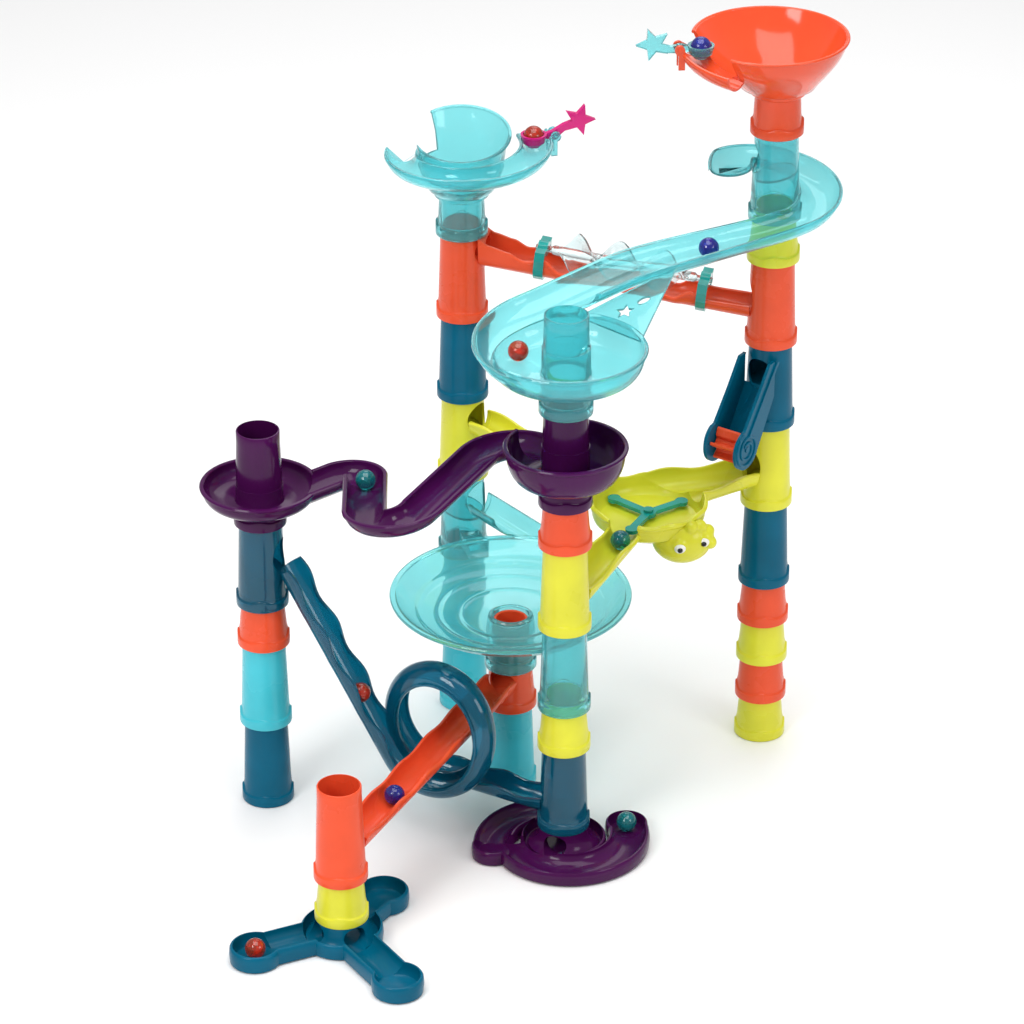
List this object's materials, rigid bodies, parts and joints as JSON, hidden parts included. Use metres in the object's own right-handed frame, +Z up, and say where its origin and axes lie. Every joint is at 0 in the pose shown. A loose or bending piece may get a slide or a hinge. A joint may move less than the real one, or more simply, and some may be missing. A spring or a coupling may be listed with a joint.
{
  "type": "marble run",
  "caption": "Free-standing toy marble run: stacked tube towers joined by chutes, a vortex bowl, a loop, a spiral slide and funnels, with a spinning auger and paddle wheel.",
  "frame": {"origin": "centre of the footprint of the bounding box, on the floor", "axes": "+Z up; +X to the right and +Y to the rear as seen from the front of the run"},
  "size_m": [0.5036, 0.4974, 0.6297],
  "materials": {
    "orange": "moulded gloss plastic",
    "orange_clear": "slightly translucent gloss plastic",
    "lime": "moulded gloss plastic",
    "petrol": "moulded gloss plastic",
    "petrol_clear": "translucent gloss plastic",
    "turquoise": "moulded gloss plastic",
    "teal_clear": "clear tinted plastic",
    "purple": "moulded gloss plastic",
    "magenta_clear": "translucent gloss plastic",
    "clear": "clear plastic",
    "white": "moulded gloss plastic",
    "black": "moulded gloss plastic",
    "marble_red": "tinted glass",
    "marble_blue": "tinted glass",
    "marble_teal": "tinted glass"
  },
  "bodies": {
    "root": {"auger_bracket_rear": "teal_clear", "auger_bracket_right": "teal_clear", "boss_eyes": "white", "boss_pupils": "black", "corner_ring": "lime", "flipper_pin": "teal_clear", "front_lower_ring": "lime", "front_upper_ring": "orange", "left_foot_tube": "petrol", "left_lower_tube": "turquoise", "left_ring": "orange", "long_chute": "orange", "loop_chute": "petrol_clear", "merge_chute": "lime", "middle_foot_tube": "turquoise", "paddle_axle": "petrol", "paddle_chute": "petrol", "pan_boss": "lime", "rear_foot_tube": "turquoise", "rear_funnel": "teal_clear", "rear_lower_tube": "turquoise", "rear_star_pin": "teal_clear", "rear_upper_tube": "petrol", "right_foot_ring": "lime", "right_fourth_ring": "orange", "right_funnel": "orange_clear", "right_middle_tube": "petrol", "right_second_ring": "orange", "right_star_pin": "orange_clear", "right_third_ring": "lime", "right_upper_ring": "lime", "spinner_chute": "orange", "spiral_base": "purple", "spiral_slide": "teal_clear", "swerve_chute": "purple", "tripod_base": "petrol", "vortex_bowl": "teal_clear"},
    "rear_lever": {"rear_star_lever": "magenta_clear", "marble_rear_lever": "marble_red"},
    "right_lever": {"right_star_lever": "teal_clear", "marble_right_lever": "marble_blue"},
    "paddle": {"paddle_wheel": "orange"},
    "auger": {"auger_rotor": "clear"},
    "flipper": {"flipper_gate": "teal_clear"},
    "rolling_long_chute": {"marble_long_chute": "marble_blue"},
    "rolling_slide": {"marble_slide": "marble_blue"},
    "rolling_ring_bowl": {"marble_ring_bowl": "marble_red"},
    "rolling_loop_ramp": {"marble_loop_ramp": "marble_red"},
    "lifting_swerve": {"marble_swerve": "marble_teal"},
    "rolling_pan": {"marble_pan": "marble_teal"},
    "lifting_base": {"marble_base": "marble_teal"},
    "lifting_tripod": {"marble_tripod": "marble_red"}
  },
  "joints": [
    {"name": "rear_lever_hinge", "type": "hinge", "parent": "root", "child": "rear_lever", "pos_m": [0.02593, 0.2249, 0.509], "axis": [0.2419, -0.9703, 0], "range_deg": [-30, 0]},
    {"name": "right_lever_hinge", "type": "hinge", "parent": "root", "child": "right_lever", "pos_m": [0.12061, 0.14936, 0.613], "axis": [-0.1045, 0.9945, 0], "range_deg": [-30, 0]},
    {"name": "paddle_spin", "type": "hinge", "parent": "root", "child": "paddle", "pos_m": [0.16606, 0.11164, 0.29], "axis": [-0.8192, 0.5736, 0], "continuous": true},
    {"name": "auger_spin", "type": "hinge", "parent": "root", "child": "auger", "pos_m": [0.02496, 0.19202, 0.42324], "axis": [0.9739, -0.194, -0.118], "continuous": true},
    {"name": "flipper_hinge", "type": "hinge", "parent": "root", "child": "flipper", "pos_m": [0.10118, 0.10352, 0.233], "axis": [0, 0, 1], "range_deg": [-22, 22]},
    {"name": "long_chute_roll", "type": "slide", "parent": "root", "child": "rolling_long_chute", "axis": [-0.4797, -0.8745, -0.0712], "range_m": [-0.06, 0.035]},
    {"name": "slide_roll", "type": "slide", "parent": "root", "child": "rolling_slide", "axis": [-0.9096, -0.4068, -0.0843], "range_m": [-0.03, 0.07]},
    {"name": "ring_bowl_roll", "type": "hinge", "parent": "root", "child": "rolling_ring_bowl", "pos_m": [0.03318, -0.02348, 0.429], "axis": [0, 0, 1], "range_deg": [-20, 120]},
    {"name": "loop_ramp_roll", "type": "slide", "parent": "root", "child": "rolling_loop_ramp", "axis": [0.4683, -0.2314, -0.8527], "range_m": [-0.05, 0.02]},
    {"name": "swerve_lift", "type": "slide", "parent": "root", "child": "lifting_swerve", "axis": [0, 0, 1], "range_m": [0, 0.03]},
    {"name": "pan_roll", "type": "slide", "parent": "root", "child": "rolling_pan", "axis": [-0.4683, -0.8746, -0.126], "range_m": [0, 0.04]},
    {"name": "base_lift", "type": "slide", "parent": "root", "child": "lifting_base", "axis": [0, 0, 1], "range_m": [0, 0.03]},
    {"name": "tripod_lift", "type": "slide", "parent": "root", "child": "lifting_tripod", "axis": [0, 0, 1], "range_m": [0, 0.03]}
  ]
}
